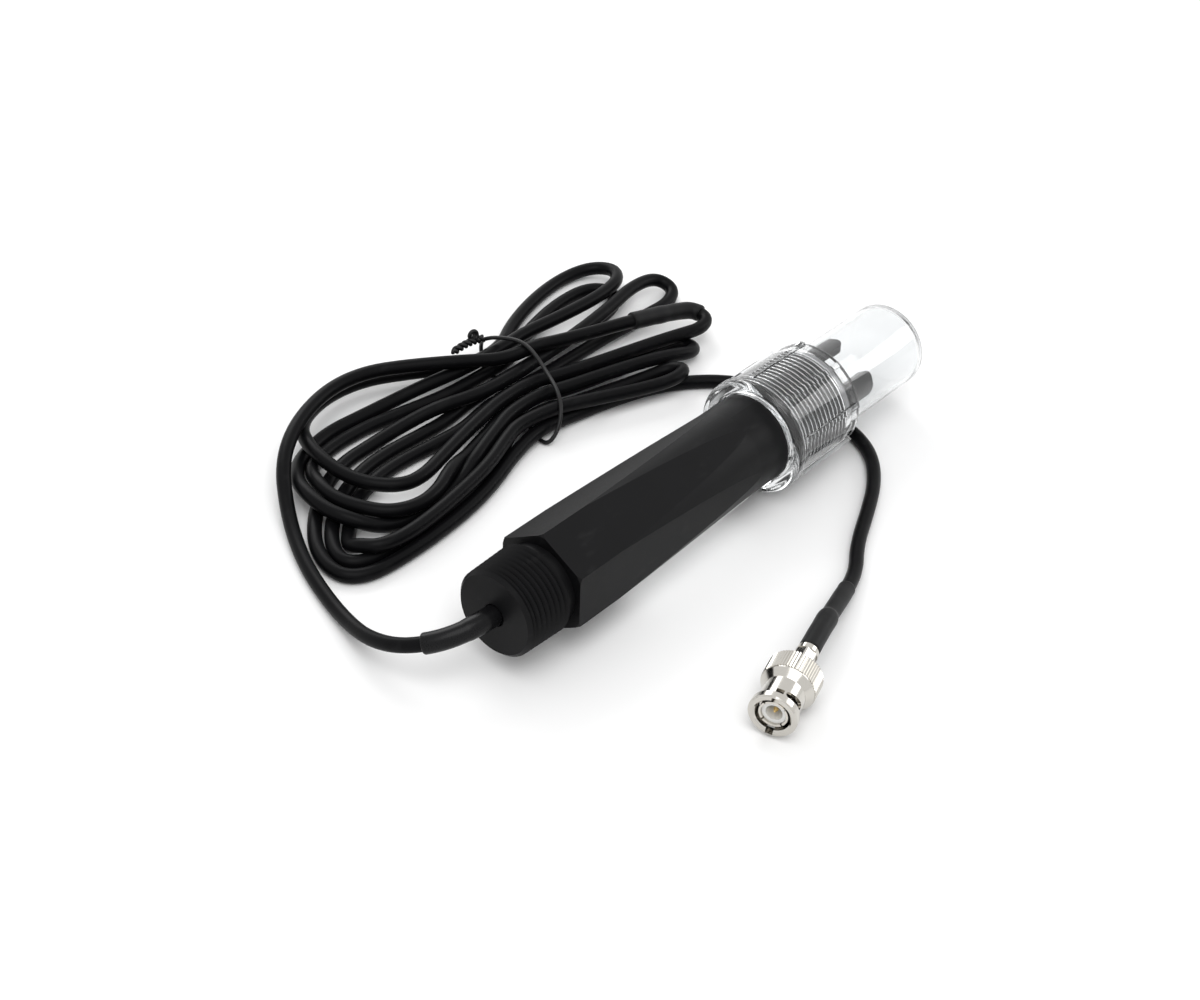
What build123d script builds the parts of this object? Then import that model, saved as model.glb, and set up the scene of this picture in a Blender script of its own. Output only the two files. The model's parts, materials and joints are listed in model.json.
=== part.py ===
from build123d import *
import os
from math import cos, pi, radians, sin, tan

# A combination pH electrode for pipes and tanks, with its cable, plug and clear storage cap.
# All lengths are in millimetres. The electrode lies along X, cable end at low X, cap at high X.
# The origin is on the floor, under the middle of the electrode with its cap on.

os.makedirs("parts", exist_ok=True)

# Electrode and cap together
capped_length = 184.6
running_gap = 0.05
loose_gap = 0.1
soft_gap = 0.3

# Pipe thread, 3/4 inch national taper, cut at both ends of the body
thread_pitch = 1.814
thread_depth = 1.05
thread_tip_radius = 13.0
thread_taper_share = 1 / 32
lead_chamfer = 1.1
rear_thread_turns = 8
front_thread_turns = 10
thread_runout = 1.0
relief_length = 2.4
thread_start = 1.3

# Hexagon that runs out into a round body
hex_corner_radius = 15.85
hex_turn = 25.06
shoulder_station = 18.6
shoulder_chamfer = 0.7
runout_start = 35.8
runout_end = 99.0
body_end_station = 112.6

# Guard of four fingers round the glass bulb
guard_radius = 11.6
guard_tip_station = 157.4
guard_root_station = 141.0
finger_count = 4
finger_arc = 38.0
finger_turn = 68.0
finger_tip_round = 2.8
body_bore_radius = 9.1
rear_wall = 3.0

# Clear storage cap
cap_station = 111.2
flange_length = 4.6
flange_round = 1.7
flange_bead = 0.8
collar_wall = 3.533125
collar_draft = 0.4
collar_end_station = 143.8
collar_round = 1.2
cap_rib_count = 8
cap_rib_height = 0.5
cap_rib_width = 1.3
cap_rib_turn = 25.0
bottle_radius = 13.5
bottle_wall = 1.3
bottle_floor = 2.4
bottle_round = 3.0
cap_thread_gap = 0.2
cap_thread_end_station = 141.4
cap_mouth_depth = 1.9
cap_ring_section = 1.9
cap_ring_edge = 0.4

# Pieces inside the body
stem_radius = 6.0
stem_wall = 0.7
stem_tip_station = 151.0
stem_tail_station = 58.1
junction_station = 136.0
junction_length = 4.0
front_seal_length = 3.8
stopper_station = 50.0
stopper_length = 12.0
wire_radius = 0.5
wire_offset = 7.55
inner_wire_end_station = 146.0
reference_wire_end_station = 124.0
wire_start_station = 8.0
potting_front_station = 49.9

# White wrap label on the underside
label_thickness = 0.15
label_start_station = 46.4
label_end_station = 96.0
label_turn_start = 207.0
label_turn_end = 333.0

# Cable
cable_diameter = 4.3
floor_gap = 0.02
cable_end_station = 6.0
boot_wall = 0.85
sleeve_wall = 0.75
sleeve_gap = 0.1
arc_reach_share = 0.45

# Hank of cable and its tie
hank_height = 10.4
hank_corner_round = 6.0
tie_angle = 64.5
tie_centre_x = -1.0
tie_centre_y = 75.0
tie_inner_length = 49.0
tie_inner_height = 9.3
tie_section = 1.3
tie_corner = 3.5
tie_knot_length = 9.0
tie_knot_radius = 1.9
tie_knot_lift_share = 0.75

# Bayonet plug, measured from its nose backwards
plug_nose_x = -60.0
plug_nose_y = -69.2
plug_angle = 16.5
nut_knurl_radius = 7.8
nut_lip_radius = 6.9
nut_neck_radius = 5.9
nut_bore_radius = 4.95
nut_chamber_radius = 5.15
nut_back_bore_radius = 4.2
nut_recess_radius = 5.4
nut_lip_length = 2.6
nut_neck_end = 9.6
nut_knurl_start = 11.8
nut_length = 19.0
nut_flange_start = 14.4
nut_flange_end = 17.4
nut_edge = 0.4
knurl_count = 60
knurl_depth = 0.28
slot_width = 2.1
slot_reach = 4.2
slot_slope = 14.0
slot_turn = 48.0
slot_notch_radius = 6.3
contact_front = 0.9
contact_radius = 4.1
contact_wall = 0.6
contact_slit = 0.5
contact_slit_length = 5.0
contact_slit_turn = 45.0
collar_front = 9.0
collar_back = 12.0
plug_collar_radius = 4.85
plug_neck_end = 19.3
plug_stem_radius = 2.2
plug_stem_end = 24.6
plug_bore_radius = 1.6
insulator_front = 1.6
insulator_recess_radius = 2.4
insulator_recess_end = 6.5
insulator_end = 18.0
pin_radius = 0.67
pin_front = 2.0
pin_point = 0.9
pin_tip_radius = 0.22
washer_thickness = 0.4
clip_start = 17.5
clip_thickness = 0.9
clip_depth = 0.3
seal_thickness = 1.3
ferrule_start = 19.4
ferrule_length = 8.8
ferrule_radius = 3.2
ferrule_bore_radius = 2.65
crimp_across_flats = 5.8
crimp_margin = 1.6
crimp_turn = 30.0
cable_inside_ferrule = 3.2

# Worked out from the sizes above
rear_x = -capped_length / 2
front_crest = thread_tip_radius + front_thread_turns * thread_pitch * thread_taper_share
cap_bore_mouth = front_crest + cap_thread_gap
collar_radius = cap_bore_mouth + collar_wall
collar_end_radius = collar_radius - collar_draft
flange_radius = collar_radius + flange_bead
axis_height = flange_radius
hex_flat_radius = hex_corner_radius * cos(pi / 6)
cable_radius = cable_diameter / 2
cable_height = cable_radius + floor_gap
boot_bore_radius = cable_radius + sleeve_gap
boot_radius = boot_bore_radius + boot_wall
sleeve_radius = boot_bore_radius + sleeve_wall
front_thread_start = body_end_station + relief_length
front_thread_end = front_thread_start + front_thread_turns * thread_pitch
cap_top_station = capped_length
electrode_axis = Axis((rear_x, 0, axis_height), (1, 0, 0))
electrode_plane = Plane(origin=(rear_x, 0, axis_height), x_dir=(1, 0, 0), z_dir=(0, -1, 0))
plug_height = nut_knurl_radius + floor_gap
plug_back = Vector(cos(radians(plug_angle)), sin(radians(plug_angle)), 0)
plug_side = Vector(sin(radians(plug_angle)), -cos(radians(plug_angle)), 0)
plug_nose = Vector(plug_nose_x, plug_nose_y, plug_height)
plug_axis = Axis(plug_nose, plug_back)
plug_plane = Plane(origin=plug_nose, x_dir=plug_back, z_dir=plug_side)


def station_plane(station):
    """Plane across the electrode at a distance from its cable end."""
    return Plane(origin=(rear_x + station, 0, axis_height), x_dir=(0, 1, 0), z_dir=(1, 0, 0))


def plug_cross_plane(distance):
    """Plane across the plug at a distance behind its nose, its x towards the plug's side."""
    return Plane(origin=plug_nose + plug_back * distance, x_dir=plug_side * -1, z_dir=plug_back)


def ring_profile(start, end, inner, outer):
    """Points of a plain ring's section: along the axis, then out from it."""
    return [(start, inner), (end, inner), (end, outer), (start, outer)]


def make_ring(name, plane, axis, points):
    """A turned piece, made by turning one outline about an axis, and its file."""
    with BuildPart() as ring:
        with BuildSketch(plane):
            with BuildLine():
                Polyline(points, close=True)
            make_face()
        revolve(axis=axis)
    finish(ring, name)
    return ring


def finish(piece, name):
    """Label one finished piece and write its file."""
    piece.part.label = name
    export_step(piece.part, "parts/" + name + ".step")


def thread_points(start, turns, crest_at_start, growth_share):
    """Crests and roots of a thread's section, one tooth for each turn."""
    points = []
    for turn in range(turns):
        root = start + turn * thread_pitch
        crest = root + thread_pitch / 2
        points.append((root, crest_at_start + (root - start) * growth_share - thread_depth))
        points.append((crest, crest_at_start + (crest - start) * growth_share))
    return points


def corner_radii(route):
    """Largest tangent arc at each corner that both of its runs leave room for."""
    radii = []
    for before, corner, after in zip(route, route[1:], route[2:]):
        first = Vector(corner) - Vector(before)
        second = Vector(after) - Vector(corner)
        half_turn = radians(first.get_angle(second)) / 2
        radii.append(arc_reach_share * min(first.length, second.length) / tan(half_turn))
    return radii


def middle(first, second):
    """Point half way between two points of a route."""
    return (Vector(first) + Vector(second)) * 0.5


def make_tube(name, route, radii, outer, inner=0):
    """A cord or sleeve: a round section carried along straight runs and tangent arcs."""
    with BuildPart() as tube:
        with BuildLine() as path:
            FilletPolyline(*route, radius=radii)
        line = path.wires()[0]
        with BuildSketch(Plane(origin=line @ 0, z_dir=line % 0)):
            Circle(outer)
            if inner:
                Circle(inner, mode=Mode.SUBTRACT)
        sweep(path=line)
    expected = pi * (outer**2 - inner**2) * line.length
    print(name, "length", round(line.length, 1), "volume share", round(tube.part.volume / expected, 4))
    print("  radii", [round(radius, 1) for radius in radii])
    finish(tube, name)


# The moulded body: two threads, a hexagon cut away by a long cone, and the guard
rear_crest = thread_tip_radius
rear_root_radius = rear_crest - thread_depth
with BuildPart() as body_shell:
    with BuildSketch(station_plane(shoulder_station)):
        RegularPolygon(hex_corner_radius, 6, rotation=hex_turn)
    extrude(amount=body_end_station - shoulder_station)
    with BuildSketch(electrode_plane):
        with BuildLine():
            Polyline(
                (shoulder_station, 0),
                (shoulder_station, hex_corner_radius - shoulder_chamfer),
                (shoulder_station + shoulder_chamfer, hex_corner_radius),
                (runout_start, hex_corner_radius),
                (runout_end, hex_flat_radius),
                (body_end_station, hex_flat_radius),
                (body_end_station, 0),
                close=True,
            )
        make_face()
    revolve(axis=electrode_axis, mode=Mode.INTERSECT)
    with BuildSketch(electrode_plane):
        with BuildLine():
            Polyline(
                (0, 0),
                (0, rear_crest - lead_chamfer),
                (lead_chamfer, rear_crest - running_gap),
                *thread_points(thread_start, rear_thread_turns, rear_crest, thread_taper_share),
                (thread_start + rear_thread_turns * thread_pitch, rear_root_radius),
                (shoulder_station, rear_root_radius),
                (shoulder_station, 0),
                close=True,
            )
        make_face()
    revolve(axis=electrode_axis)
    with BuildSketch(electrode_plane):
        with BuildLine():
            Polyline(
                (body_end_station, 0),
                (body_end_station, front_crest - thread_depth),
                *thread_points(front_thread_start, front_thread_turns, front_crest, -thread_taper_share),
                (front_thread_end, rear_root_radius),
                (front_thread_end + thread_runout, guard_radius),
                (guard_tip_station, guard_radius),
                (guard_tip_station, 0),
                close=True,
            )
        make_face()
    revolve(axis=electrode_axis)
    with BuildSketch(station_plane(rear_wall)):
        Circle(body_bore_radius)
    extrude(amount=guard_tip_station - rear_wall, mode=Mode.SUBTRACT)
    with BuildSketch(station_plane(0)):
        Circle(boot_radius + soft_gap)
    extrude(amount=rear_wall, mode=Mode.SUBTRACT)
    slot_arc = 360 / finger_count - finger_arc
    for slot in range(finger_count):
        slot_edge = finger_turn + finger_arc / 2 + slot * 360 / finger_count
        slot_sides = [radians(slot_edge), radians(slot_edge + slot_arc)]
        with BuildSketch(station_plane(guard_root_station)):
            with BuildLine():
                Polyline(
                    (0, 0),
                    *[(2 * flange_radius * cos(side), 2 * flange_radius * sin(side)) for side in slot_sides],
                    close=True,
                )
            make_face()
        extrude(amount=guard_tip_station - guard_root_station, mode=Mode.SUBTRACT)
    tip_x = rear_x + guard_tip_station
    tip_edges = body_shell.edges().filter_by(GeomType.LINE)
    tip_edges = tip_edges.filter_by_position(Axis.X, tip_x - loose_gap, tip_x + loose_gap)
    fillet(tip_edges.filter_by(lambda edge: abs(edge.tangent_at(0).X) < running_gap), finger_tip_round)
finish(body_shell, "body_shell")

# White wrap label: the same hexagon and cone, one label's thickness larger
with BuildPart() as body_label:
    with BuildSketch(station_plane(label_start_station)):
        RegularPolygon(hex_corner_radius + label_thickness / cos(pi / 6), 6, rotation=hex_turn)
    extrude(amount=label_end_station - label_start_station)
    with BuildSketch(electrode_plane):
        with BuildLine():
            Polyline(
                (runout_start, 0),
                (runout_start, hex_corner_radius + label_thickness),
                (runout_end, hex_flat_radius + label_thickness),
                (runout_end, 0),
                close=True,
            )
        make_face()
    revolve(axis=electrode_axis, mode=Mode.INTERSECT)
    label_step = (label_turn_end - label_turn_start) / 4
    label_turns = [radians(label_turn_start + step * label_step) for step in range(5)]
    with BuildSketch(station_plane(label_start_station)):
        with BuildLine():
            Polyline(
                (0, 0),
                *[(2 * flange_radius * cos(turn), 2 * flange_radius * sin(turn)) for turn in label_turns],
                close=True,
            )
        make_face()
    extrude(amount=label_end_station - label_start_station, mode=Mode.INTERSECT)
    with BuildSketch(station_plane(label_start_station)):
        Circle(rear_root_radius)
    extrude(amount=label_end_station - label_start_station, mode=Mode.SUBTRACT)
    add(body_shell.part, mode=Mode.SUBTRACT)
finish(body_label, "body_label")

# Glass stem with its round bulb, blown as one piece and open at the tail
bulb_centre = stem_tip_station - stem_radius
with BuildPart() as glass_stem:
    with BuildSketch(electrode_plane):
        with BuildLine():
            Line((stem_tail_station, stem_radius), (bulb_centre, stem_radius))
            CenterArc((bulb_centre, 0), stem_radius, 0, 90)
            Line((stem_tip_station, 0), (stem_tip_station - stem_wall, 0))
            CenterArc((bulb_centre, 0), stem_radius - stem_wall, 0, 90)
            Line((bulb_centre, stem_radius - stem_wall), (stem_tail_station, stem_radius - stem_wall))
            Line((stem_tail_station, stem_radius - stem_wall), (stem_tail_station, stem_radius))
        make_face()
    revolve(axis=electrode_axis)
finish(glass_stem, "glass_stem")

# Porous ring that joins the reference chamber to the sample, and the seal behind it
inner_fit_radius = body_bore_radius - running_gap
stem_fit_radius = stem_radius + running_gap
make_ring(
    "reference_junction",
    electrode_plane,
    electrode_axis,
    ring_profile(junction_station, junction_station + junction_length, stem_fit_radius, inner_fit_radius),
)
make_ring(
    "front_seal",
    electrode_plane,
    electrode_axis,
    ring_profile(
        junction_station - running_gap - front_seal_length,
        junction_station - running_gap,
        stem_fit_radius,
        inner_fit_radius,
    ),
)

# Stopper that closes the stem's tail and the reference chamber, with a hole for each wire
with BuildPart() as rear_stopper:
    with BuildSketch(station_plane(stopper_station)):
        Circle(inner_fit_radius)
        Circle(wire_radius + running_gap, mode=Mode.SUBTRACT)
        with Locations((0, wire_offset)):
            Circle(wire_radius + running_gap, mode=Mode.SUBTRACT)
    extrude(amount=stopper_length)
    with BuildSketch(station_plane(stem_tail_station - running_gap)):
        Circle(stem_fit_radius)
    extrude(amount=stopper_station + stopper_length - stem_tail_station + running_gap, mode=Mode.SUBTRACT)
finish(rear_stopper, "rear_stopper")

# Silver wires of the two half cells
for wire_name, offset, wire_end in (
    ("inner_electrode", 0, inner_wire_end_station),
    ("reference_electrode", wire_offset, reference_wire_end_station),
):
    with BuildPart() as wire:
        with BuildSketch(station_plane(wire_start_station)):
            with Locations((0, offset)):
                Circle(wire_radius)
        extrude(amount=wire_end - wire_start_station)
    finish(wire, wire_name)

# Potting that holds the cable's end in the body
with BuildPart() as cable_potting:
    with BuildSketch(station_plane(rear_wall + running_gap)):
        Circle(inner_fit_radius)
    extrude(amount=potting_front_station - rear_wall - running_gap)
    with BuildSketch(station_plane(rear_wall)):
        Circle(cable_radius + running_gap)
    extrude(amount=cable_end_station + running_gap - rear_wall, mode=Mode.SUBTRACT)
    with BuildSketch(station_plane(rear_wall)):
        with Locations((0, 0), (0, wire_offset)):
            Circle(wire_radius + running_gap)
    extrude(amount=potting_front_station - rear_wall, mode=Mode.SUBTRACT)
finish(cable_potting, "cable_potting")

# Clear storage cap: rolled flange, ribbed collar with a tapered bore, and a closed bottle
cap_bore_end = cap_bore_mouth - (cap_thread_end_station - front_thread_start) * thread_taper_share
bottle_bore = bottle_radius - bottle_wall
flange_end_station = cap_station + flange_length
rib_end_station = collar_end_station - collar_round
with BuildPart() as storage_cap:
    with BuildSketch(electrode_plane):
        with BuildLine():
            Line((cap_station, 0), (cap_station, flange_radius - flange_round))
            CenterArc((cap_station + flange_round, flange_radius - flange_round), flange_round, 90, 90)
            Line((cap_station + flange_round, flange_radius), (flange_end_station - flange_bead, flange_radius))
            CenterArc((flange_end_station - flange_bead, collar_radius), flange_bead, 0, 90)
            Line((flange_end_station, collar_radius), (rib_end_station, collar_end_radius))
            CenterArc((rib_end_station, collar_end_radius - collar_round), collar_round, 0, 90)
            Line((collar_end_station, collar_end_radius - collar_round), (collar_end_station, bottle_radius))
            Line((collar_end_station, bottle_radius), (cap_top_station - bottle_round, bottle_radius))
            CenterArc((cap_top_station - bottle_round, bottle_radius - bottle_round), bottle_round, 0, 90)
            Line((cap_top_station, bottle_radius - bottle_round), (cap_top_station, 0))
            Line((cap_top_station, 0), (cap_station, 0))
        make_face()
    revolve(axis=electrode_axis)
    with BuildSketch(station_plane(flange_end_station - flange_round)):
        with PolarLocations(collar_end_radius, cap_rib_count, start_angle=cap_rib_turn):
            Rectangle(2 * (collar_radius + cap_rib_height - collar_end_radius), cap_rib_width)
    extrude(amount=rib_end_station - flange_end_station + flange_round)
    with BuildSketch(electrode_plane):
        with BuildLine():
            Polyline(
                (cap_station, 0),
                (cap_station, hex_flat_radius + cap_thread_gap * 2),
                (cap_station + cap_mouth_depth, hex_flat_radius + cap_thread_gap * 2),
                (front_thread_start, cap_bore_mouth),
                (cap_thread_end_station, cap_bore_end),
                (cap_thread_end_station, bottle_bore),
                (cap_top_station - bottle_floor - bottle_round / 2, bottle_bore),
                (cap_top_station - bottle_floor, bottle_bore - bottle_round / 2),
                (cap_top_station - bottle_floor, 0),
                close=True,
            )
        make_face()
    revolve(axis=electrode_axis, mode=Mode.SUBTRACT)
finish(storage_cap, "storage_cap")

# Sealing ring at the bottom of the cap's thread
ring_outer = cap_bore_end - running_gap
ring_inner = guard_radius + running_gap
ring_back = cap_thread_end_station - running_gap
with BuildPart() as cap_ring:
    with BuildSketch(electrode_plane):
        with Locations((ring_back - cap_ring_section / 2, (ring_outer + ring_inner) / 2)):
            ring_section = Rectangle(cap_ring_section, ring_outer - ring_inner)
        chamfer(ring_section.vertices(), cap_ring_edge)
    revolve(axis=electrode_axis)
finish(cap_ring, "cap_ring")

# Cable route from the body to the hank, chosen by eye
lead_route = [
    (rear_x + cable_end_station, 0, axis_height),
    (rear_x - 4.7, 0, axis_height),
    (rear_x - 14.7, 4.2, 15.6),
    (rear_x - 20.9, 13.2, 11.4),
    (rear_x - 21.3, 24.6, 6.8),
    (-109.8, 36.5, 3.1),
    (-106.0, 48.5, cable_height),
    (-101.5, 60.3, cable_height),
    (-95.0, 72.3, cable_height),
    (-86.6, 84.3, cable_height),
    (-76.0, 95.2, cable_height),
    (-62.5, 104.5, cable_height),
]
lead_radii = corner_radii(lead_route)
make_tube("lead_cable", lead_route, lead_radii, cable_radius)
boot_route = [(rear_x + rear_wall, 0, axis_height), *lead_route[1:3], middle(lead_route[2], lead_route[3])]
make_tube("cable_boot", boot_route, lead_radii[:2], boot_radius, boot_bore_radius)

# Cable route from the hank under the cap's bottle to the plug, chosen by eye
cable_in_plug = ferrule_start + ferrule_length - cable_inside_ferrule


def behind_plug(distance, height):
    """Point on the plug's line, behind its nose, at a height above the floor."""
    return (plug_nose_x + plug_back.X * distance, plug_nose_y + plug_back.Y * distance, height)


tail_route = [
    (-8.0, 57.2, cable_height),
    (6.0, 55.2, cable_height),
    (20.0, 52.6, cable_height),
    (34.0, 48.6, cable_height),
    (46.5, 42.3, cable_height),
    (56.8, 33.0, cable_height),
    (63.0, 20.5, cable_height),
    (65.2, 6.5, cable_height),
    (64.6, -8.0, cable_height),
    (58.8, -19.8, cable_height),
    (48.0, -28.4, cable_height),
    (35.0, -34.8, cable_height),
    (20.0, -41.4, cable_height),
    behind_plug(72, cable_height),
    behind_plug(55.5, 4.6),
    behind_plug(39.5, plug_height),
    behind_plug(cable_in_plug, plug_height),
]
tail_radii = corner_radii(tail_route)
make_tube("tail_cable", tail_route, tail_radii, cable_radius)
sleeve_front = behind_plug(ferrule_start + ferrule_length + soft_gap, plug_height)
tail_sleeve_route = [middle(tail_route[-4], tail_route[-3]), *tail_route[-3:-1], sleeve_front]
make_tube("tail_sleeve", tail_sleeve_route, tail_radii[-2:], sleeve_radius, boot_bore_radius)

# Outer shape of the hank, with a waist where the tie goes round
hank_outline = [
    (-97.0, 45.5),
    (-84.0, 42.5),
    (-60.0, 44.0),
    (-30.0, 50.0),
    (-10.0, 54.0),
    (14.0, 58.5),
    (40.0, 51.5),
    (60.0, 49.0),
    (81.0, 59.0),
    (91.0, 74.0),
    (91.0, 90.0),
    (81.0, 106.0),
    (64.0, 112.0),
    (42.0, 110.0),
    (16.0, 101.0),
    (-6.0, 99.5),
    (-24.0, 106.0),
    (-40.0, 113.5),
    (-56.0, 112.0),
    (-69.0, 99.5),
    (-80.5, 86.0),
    (-89.5, 71.0),
    (-95.5, 57.0),
]
tie_direction = Vector(cos(radians(tie_angle)), sin(radians(tie_angle)), 0)
tie_normal = Vector(sin(radians(tie_angle)), -cos(radians(tie_angle)), 0)
tie_outer_height = tie_inner_height + 2 * tie_section
tie_plane = Plane(
    origin=(tie_centre_x, tie_centre_y, floor_gap + tie_outer_height / 2), x_dir=tie_direction, z_dir=tie_normal
)
with BuildPart() as cable_hank:
    with BuildSketch(Plane.XY.offset(floor_gap)) as hank_sketch:
        with BuildLine():
            Polyline(hank_outline, close=True)
        make_face()
        fillet(hank_sketch.vertices(), hank_corner_round)
    extrude(amount=hank_height)
    hank_rims = cable_hank.faces().sort_by(Axis.Z)
    chamfer(hank_rims[-1].edges(), cable_radius)
    with BuildSketch(tie_plane):
        Rectangle(2 * tie_inner_length, 2 * tie_inner_length)
        RectangleRounded(
            tie_inner_length - 2 * soft_gap, tie_inner_height - 2 * soft_gap, tie_corner, mode=Mode.SUBTRACT
        )
    extrude(amount=tie_section / 2 + soft_gap, both=True, mode=Mode.SUBTRACT)
finish(cable_hank, "cable_hank")

# Twist tie round the hank, with its twisted ends on top
knot_centre = tie_inner_length / 2 * tie_knot_lift_share
with BuildPart() as twist_tie:
    with BuildSketch(tie_plane):
        RectangleRounded(tie_inner_length + 2 * tie_section, tie_outer_height, tie_corner + tie_section)
        RectangleRounded(tie_inner_length, tie_inner_height, tie_corner, mode=Mode.SUBTRACT)
    extrude(amount=tie_section / 2, both=True)
    with BuildSketch(tie_plane.offset(-tie_knot_length / 2)):
        with Locations((knot_centre, tie_outer_height / 2 + tie_knot_radius - tie_section / 2)):
            Circle(tie_knot_radius)
    extrude(amount=tie_knot_length)
finish(twist_tie, "twist_tie")

# Marker sleeve on the last turn, lying on top of the hank
lead_sleeve_height = floor_gap + hank_height + soft_gap + sleeve_radius
lead_sleeve_route = [
    (47.0, 72.5, lead_sleeve_height),
    (56.5, 67.5, lead_sleeve_height),
    (65.5, 61.0, lead_sleeve_height),
]
make_tube(
    "lead_sleeve", lead_sleeve_route, corner_radii(lead_sleeve_route), sleeve_radius, boot_bore_radius
)

# Coupling nut of the plug: lip, neck with two bayonet windows, cone and knurled grip
with BuildPart() as coupling_nut:
    with BuildSketch(plug_plane):
        with BuildLine():
            Polyline(
                (0, 0),
                (0, nut_lip_radius - nut_edge),
                (nut_edge, nut_lip_radius),
                (nut_lip_length - nut_edge, nut_lip_radius),
                (nut_lip_length, nut_lip_radius - nut_edge),
                (nut_lip_length, nut_neck_radius),
                (nut_neck_end, nut_neck_radius),
                (nut_knurl_start, nut_knurl_radius - knurl_depth),
                (nut_length - nut_edge, nut_knurl_radius - knurl_depth),
                (nut_length, nut_knurl_radius - knurl_depth - nut_edge),
                (nut_length, 0),
                close=True,
            )
        make_face()
    revolve(axis=plug_axis)
    tooth_turns = [2 * pi * tooth / (2 * knurl_count) for tooth in range(2 * knurl_count)]
    with BuildSketch(plug_cross_plane(nut_knurl_start + nut_edge)):
        with BuildLine():
            Polyline(
                [
                    (
                        (nut_knurl_radius - knurl_depth * (tooth % 2)) * cos(turn),
                        (nut_knurl_radius - knurl_depth * (tooth % 2)) * sin(turn),
                    )
                    for tooth, turn in enumerate(tooth_turns)
                ],
                close=True,
            )
        make_face()
    extrude(amount=nut_length - nut_knurl_start - 2 * nut_edge)
    with BuildSketch(plug_plane):
        with BuildLine():
            Polyline(
                (0, 0),
                (0, nut_bore_radius + nut_edge),
                (nut_edge, nut_bore_radius),
                (nut_neck_end, nut_bore_radius),
                (nut_neck_end, nut_chamber_radius),
                (nut_flange_start, nut_chamber_radius),
                (nut_flange_start, nut_back_bore_radius),
                (nut_flange_end, nut_back_bore_radius),
                (nut_flange_end, nut_recess_radius),
                (nut_length, nut_recess_radius),
                (nut_length, 0),
                close=True,
            )
        make_face()
    revolve(axis=plug_axis, mode=Mode.SUBTRACT)
    for half_turn in (0, 180):
        with BuildSketch(plug_cross_plane(0)):
            with PolarLocations(nut_bore_radius, 1, start_angle=90 + half_turn):
                Rectangle(2 * (slot_notch_radius - nut_bore_radius), slot_width)
        extrude(amount=nut_lip_length + slot_width, mode=Mode.SUBTRACT)
        window_turn = radians(90 - slot_turn + half_turn)
        outward = plug_side * cos(window_turn) + Vector(0, 0, 1) * sin(window_turn)
        window_centre = plug_nose + plug_back * (nut_lip_length + slot_width) + outward * nut_bore_radius / 2
        around = plug_back.cross(outward)
        with BuildSketch(Plane(origin=window_centre, x_dir=around, z_dir=outward)):
            SlotCenterToCenter(slot_reach, slot_width, rotation=slot_slope)
        extrude(amount=nut_knurl_radius, mode=Mode.SUBTRACT)
finish(coupling_nut, "coupling_nut")

# Plug body: slit outer contact, collar, neck with a clip groove, and the stem in the ferrule
plug_neck_radius = nut_back_bore_radius - loose_gap
with BuildPart() as plug_body:
    with BuildSketch(plug_plane):
        with BuildLine():
            Polyline(
                (contact_front, contact_radius - contact_wall),
                (contact_front, contact_radius),
                (collar_front, contact_radius),
                (collar_front, plug_collar_radius),
                (collar_back, plug_collar_radius),
                (collar_back, plug_neck_radius),
                (clip_start - running_gap, plug_neck_radius),
                (clip_start - running_gap, plug_neck_radius - clip_depth),
                (clip_start + clip_thickness + running_gap, plug_neck_radius - clip_depth),
                (clip_start + clip_thickness + running_gap, plug_neck_radius),
                (plug_neck_end, plug_neck_radius),
                (plug_neck_end, plug_stem_radius),
                (plug_stem_end, plug_stem_radius),
                (plug_stem_end, plug_bore_radius),
                (collar_back, plug_bore_radius),
                (collar_back - nut_edge, contact_radius - contact_wall),
                close=True,
            )
        make_face()
    revolve(axis=plug_axis)
    with BuildSketch(plug_cross_plane(contact_front)):
        Rectangle(2 * (contact_radius + contact_wall), contact_slit, rotation=contact_slit_turn)
        Rectangle(contact_slit, 2 * (contact_radius + contact_wall), rotation=contact_slit_turn)
    extrude(amount=contact_slit_length, mode=Mode.SUBTRACT)
finish(plug_body, "plug_body")

# Insulator with the recess that takes the socket's own insulator
insulator_radius = contact_radius - contact_wall - running_gap
pin_bore_radius = pin_radius + running_gap
insulator_step = collar_back - nut_edge - running_gap
with BuildPart() as plug_insulator:
    with BuildSketch(plug_plane):
        with BuildLine():
            Polyline(
                (insulator_front, insulator_recess_radius),
                (insulator_front, insulator_radius),
                (insulator_step - nut_edge, insulator_radius),
                (insulator_step - nut_edge, plug_bore_radius - running_gap),
                (insulator_end, plug_bore_radius - running_gap),
                (insulator_end, pin_bore_radius),
                (insulator_recess_end, pin_bore_radius),
                (insulator_recess_end, insulator_recess_radius),
                close=True,
            )
        make_face()
    revolve(axis=plug_axis)
finish(plug_insulator, "plug_insulator")

# Centre pin with a tapered point
with BuildPart() as centre_pin:
    with BuildSketch(plug_plane):
        with BuildLine():
            Polyline(
                (pin_front, 0),
                (pin_front, pin_tip_radius),
                (pin_front + pin_point, pin_radius),
                (cable_in_plug - loose_gap, pin_radius),
                (cable_in_plug - loose_gap, 0),
                close=True,
            )
        make_face()
    revolve(axis=plug_axis)
finish(centre_pin, "centre_pin")

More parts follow.
